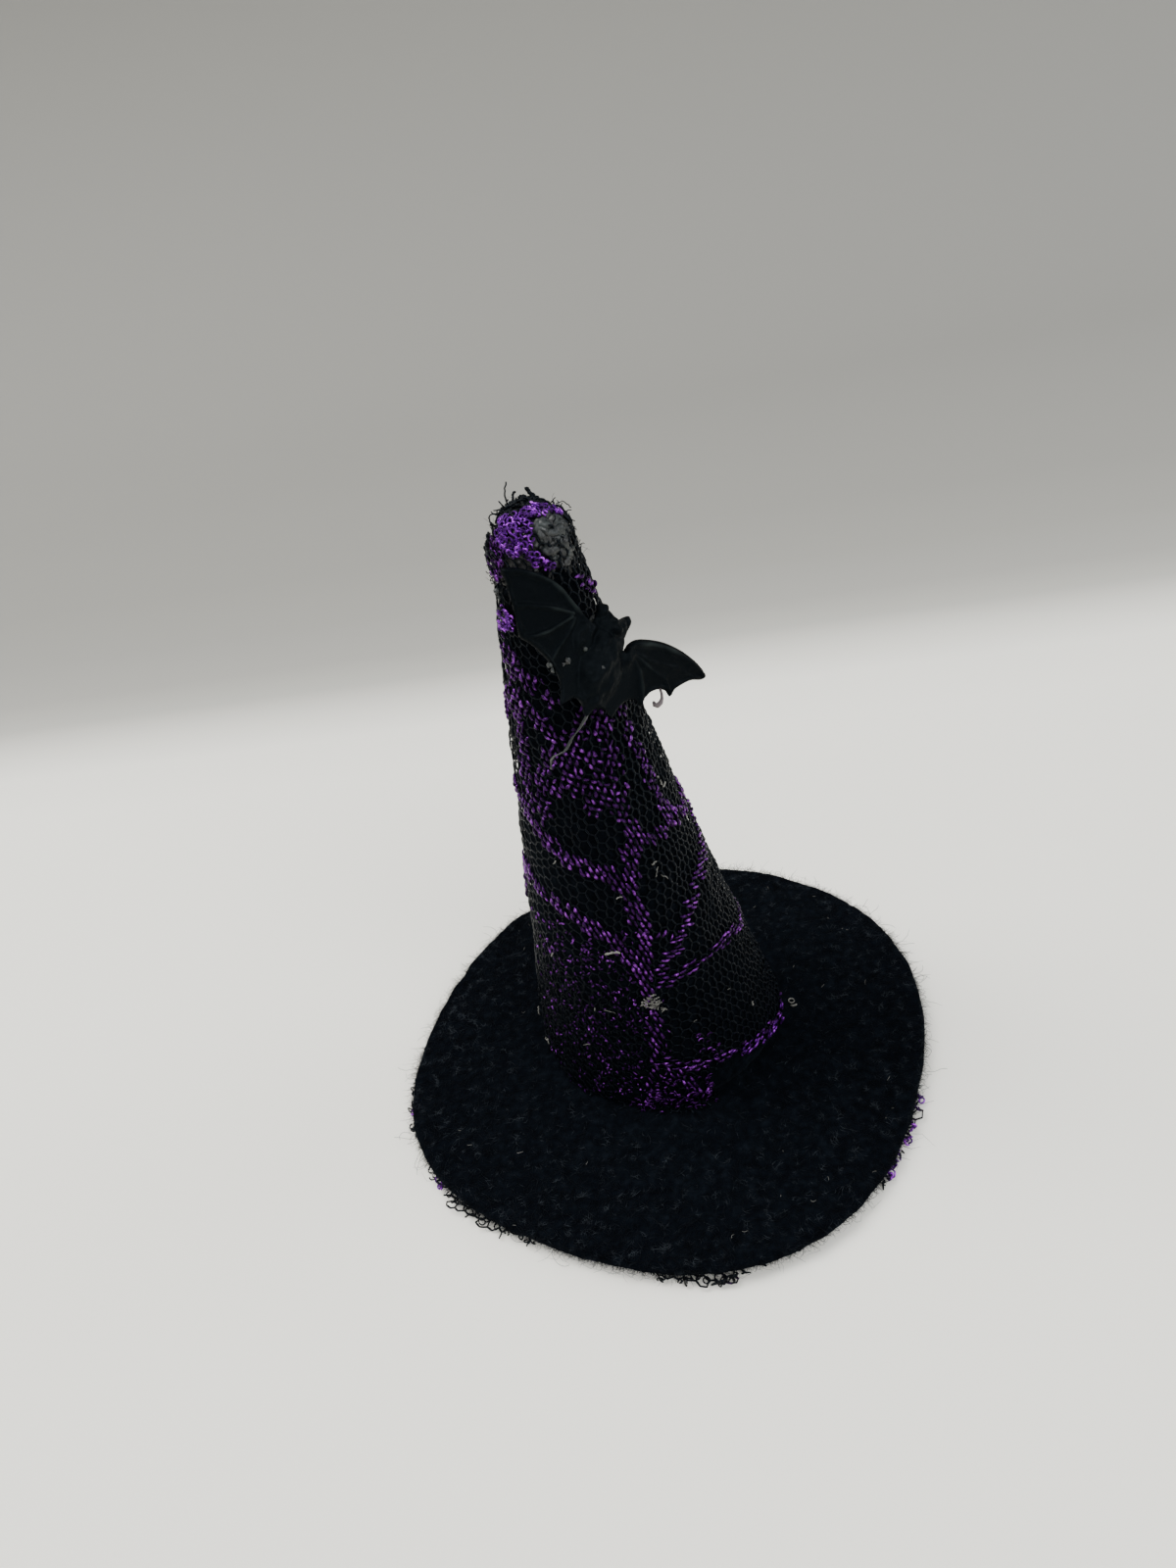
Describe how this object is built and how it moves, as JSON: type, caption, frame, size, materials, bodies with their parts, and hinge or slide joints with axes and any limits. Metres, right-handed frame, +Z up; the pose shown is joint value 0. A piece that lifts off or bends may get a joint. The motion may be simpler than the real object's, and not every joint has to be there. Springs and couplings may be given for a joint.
{
  "type": "witch hat",
  "caption": "Doll-size witch hat: flat felt brim and tall leaning felt cone under hexagonal net with a knitted-in web, a flying bat charm glued near the tip.",
  "frame": {"origin": "middle of the bounding box at the surface the brim rests on", "axes": "+Z up through the cone, -Y to the front where the bat is, +X to the right seen from the front"},
  "size_m": [0.0776, 0.078, 0.086],
  "materials": {
    "black_felt": "matted craft felt, very dark, matte",
    "black_net": "hexagonal net in black thread with a spider web of metallic purple yarn knitted in",
    "hot_glue": "translucent hot-melt glue, smooth",
    "bat_plastic": "moulded black, semi-gloss"
  },
  "bodies": {
    "root": {"brim_felt": "black_felt", "brim_net": "black_net", "crown_felt": "black_felt", "crown_net": "black_net", "crown_tip_glue": "hot_glue", "crown_seam_glue": "hot_glue", "crown_base_glue": "hot_glue", "bat_charm": "bat_plastic", "bat_glue": "hot_glue", "brim_glue_1": "hot_glue", "brim_glue_2": "hot_glue", "brim_glue_3": "hot_glue", "brim_glue_4": "hot_glue", "brim_glue_5": "hot_glue", "brim_glue_6": "hot_glue", "brim_glue_7": "hot_glue", "brim_glue_8": "hot_glue"}
  },
  "joints": []
}
